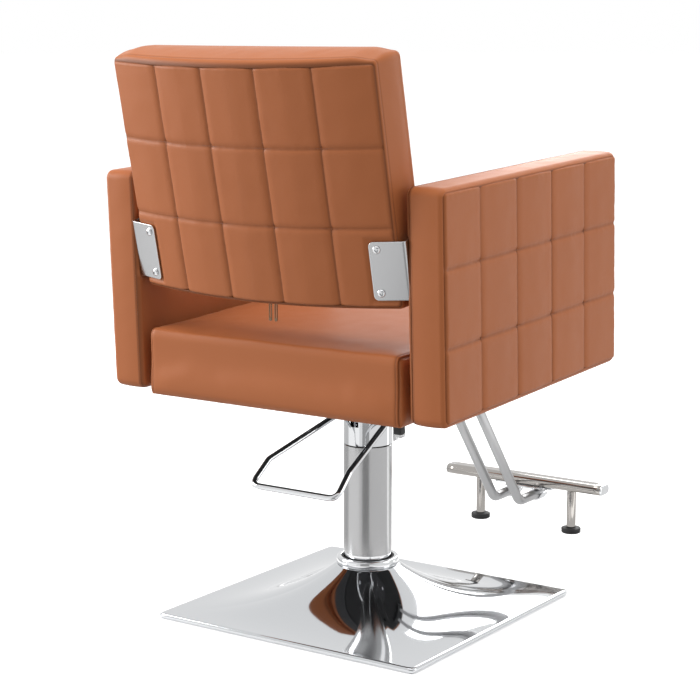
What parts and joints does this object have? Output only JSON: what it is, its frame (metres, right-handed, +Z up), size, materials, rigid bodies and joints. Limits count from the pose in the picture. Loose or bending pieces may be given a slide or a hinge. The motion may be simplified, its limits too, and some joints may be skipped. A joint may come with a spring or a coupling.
{
  "type": "styling chair",
  "caption": "Square padded salon chair with quilted arms and curved back on a lifting, swivelling column, with a square base, pump lever and footrest.",
  "frame": {"origin": "centre of the base's underside, on the floor and on the column's axis", "axes": "+Z up; the sitter faces -Y, so the back is on +Y and the sitter's right arm on -X"},
  "size_m": [0.658, 0.9797, 0.9732],
  "materials": {
    "chrome": "polished",
    "satin_steel": "satin",
    "plain_steel": "satin",
    "bronze": "satin",
    "tan_leather": "satin",
    "plywood": "matte",
    "rubber": "matte",
    "zip_metal": "satin"
  },
  "bodies": {
    "base": {"base_plate": "plain_steel", "base_cover": "chrome", "column_tube": "satin_steel", "base_bolt_1": "plain_steel", "base_bolt_2": "plain_steel", "base_bolt_3": "plain_steel", "base_bolt_4": "plain_steel", "cover_ring": "chrome", "column_gasket": "rubber", "guide_bush": "bronze"},
    "lift": {"lift_piston": "plain_steel", "thrust_bearing": "plain_steel"},
    "chair": {"ram": "chrome", "swivel_head": "chrome", "seat_board": "plywood", "seat_cushion": "tan_leather", "seat_mount_plate": "plain_steel", "mount_bolt_1": "plain_steel", "mount_bolt_2": "plain_steel", "mount_bolt_3": "plain_steel", "mount_bolt_4": "plain_steel", "arm_rail_right": "plain_steel", "arm_rail_left": "plain_steel", "arm_band_right": "tan_leather", "arm_inner_pad_right": "tan_leather", "arm_board_right": "plywood", "arm_outer_pad_right": "tan_leather", "back_bracket_right": "chrome", "bracket_screw_right_upper": "chrome", "bracket_screw_right_lower": "chrome", "footrest_tube_right": "satin_steel", "foot_leg_right": "satin_steel", "foot_bar_cap_right": "satin_steel", "arm_band_left": "tan_leather", "arm_inner_pad_left": "tan_leather", "arm_board_left": "plywood", "arm_outer_pad_left": "tan_leather", "back_bracket_left": "chrome", "bracket_screw_left_upper": "chrome", "bracket_screw_left_lower": "chrome", "footrest_tube_left": "satin_steel", "foot_leg_left": "satin_steel", "foot_bar_cap_left": "satin_steel", "back_band": "tan_leather", "back_rear_panel": "tan_leather", "back_shell": "plywood", "back_front_pad": "tan_leather", "zip_tape": "zip_metal", "footrest_channel": "plain_steel", "foot_bar": "satin_steel", "foot_bar_clamp": "chrome"},
    "pump_lever": {"pump_lever": "chrome"},
    "pump_plunger": {"pump_plunger": "plain_steel"},
    "foot_pad_right": {"foot_pad_right": "rubber"},
    "zip_slider_right": {"zip_slider_right": "zip_metal"},
    "zip_pull_right": {"zip_pull_right": "zip_metal"},
    "foot_pad_left": {"foot_pad_left": "rubber"},
    "zip_slider_left": {"zip_slider_left": "zip_metal"},
    "zip_pull_left": {"zip_pull_left": "zip_metal"}
  },
  "joints": [
    {"name": "seat_lift", "type": "slide", "parent": "base", "child": "lift", "axis": [0, 0, 1], "range_m": [0, 0.15]},
    {"name": "seat_swivel", "type": "hinge", "parent": "lift", "child": "chair", "pos_m": [0, 0, 0.3], "axis": [0, 0, 1], "continuous": true},
    {"name": "lever_pump", "type": "hinge", "parent": "chair", "child": "pump_lever", "pos_m": [0, 0, 0.346], "axis": [1, 0, 0], "range_deg": [-24, 6], "stiffness_Nm_per_rad": 30, "springref_deg": 1.15},
    {"name": "plunger_push", "type": "slide", "parent": "chair", "child": "pump_plunger", "axis": [0, 0, -1], "range_m": [-0.0018, 0.007]},
    {"name": "pad_level_right", "type": "slide", "parent": "chair", "child": "foot_pad_right", "axis": [0, 0, -1], "range_m": [0, 0.008]},
    {"name": "pad_level_left", "type": "slide", "parent": "chair", "child": "foot_pad_left", "axis": [0, 0, -1], "range_m": [0, 0.008]},
    {"name": "zip_slide_right", "type": "hinge", "parent": "chair", "child": "zip_slider_right", "pos_m": [0, -0.59384, 0.77201], "axis": [0, 0.2096, 0.9778], "range_deg": [0, 13]},
    {"name": "zip_pull_swing_right", "type": "hinge", "parent": "zip_slider_right", "child": "zip_pull_right", "pos_m": [-0.0055, 0.271, 0.57914], "axis": [1, 0, 0], "range_deg": [-65, 65]},
    {"name": "zip_slide_left", "type": "hinge", "parent": "chair", "child": "zip_slider_left", "pos_m": [0, -0.59384, 0.77201], "axis": [0, 0.2096, 0.9778], "range_deg": [-13, 0]},
    {"name": "zip_pull_swing_left", "type": "hinge", "parent": "zip_slider_left", "child": "zip_pull_left", "pos_m": [0.0055, 0.271, 0.57914], "axis": [1, 0, 0], "range_deg": [-65, 65]}
  ],
  "couplings": [
    {"joint": "plunger_push", "follows": "lever_pump", "m_per_rad": -0.0158}
  ]
}
